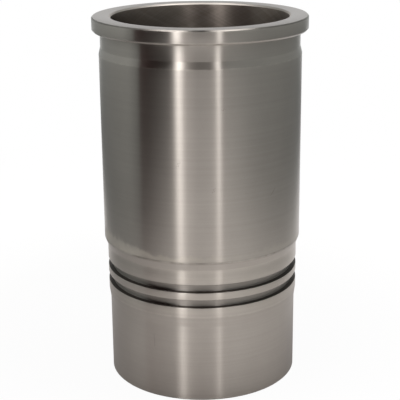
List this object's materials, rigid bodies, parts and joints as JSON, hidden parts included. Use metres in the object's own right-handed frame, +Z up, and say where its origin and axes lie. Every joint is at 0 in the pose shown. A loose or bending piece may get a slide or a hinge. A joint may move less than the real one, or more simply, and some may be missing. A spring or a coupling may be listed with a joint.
{
  "type": "cylinder liner",
  "caption": "Turned wet cylinder liner with a collar at the top, a relieved neck, ring grooves round its lower pilot and a plain honed bore.",
  "frame": {"origin": "centre of the lower end face, on the surface that the liner stands on", "axes": "+Z up along the bore axis, towards the collar; the liner is round, so +X and +Y are free"},
  "size_m": [0.1554, 0.1554, 0.27],
  "materials": {
    "machined_iron": "fine turned outside, honed bore, bare metal"
  },
  "bodies": {
    "root": {"cylinder_liner": "machined_iron"}
  },
  "joints": []
}
